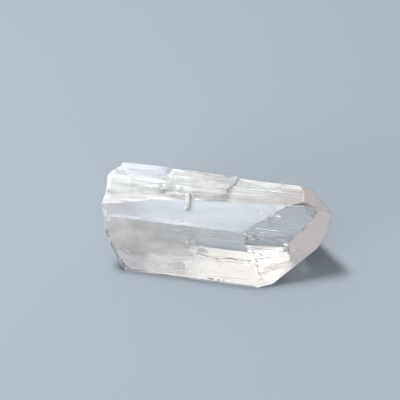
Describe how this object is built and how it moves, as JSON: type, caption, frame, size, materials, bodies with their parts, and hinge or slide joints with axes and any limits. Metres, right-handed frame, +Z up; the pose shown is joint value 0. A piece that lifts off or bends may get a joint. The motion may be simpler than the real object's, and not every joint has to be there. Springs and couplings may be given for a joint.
{
  "type": "danburite crystal",
  "caption": "Clear, faintly pink danburite prism lying on a prism face, pointed at one end and broken at the other, with stepped growth layers along its upper side.",
  "frame": {"origin": "centre of the bounding box at the level of the face the crystal rests on", "axes": "+Z up; +X along the crystal's long c axis, towards the pointed end; -Y is the front, where the large steep prism face looks"},
  "size_m": [0.0452, 0.019, 0.0188],
  "materials": {
    "crystal": "clear natural crystal faces with fine striation and a few broken, frosted patches"
  },
  "bodies": {
    "root": {"crystal": "crystal"}
  },
  "joints": []
}
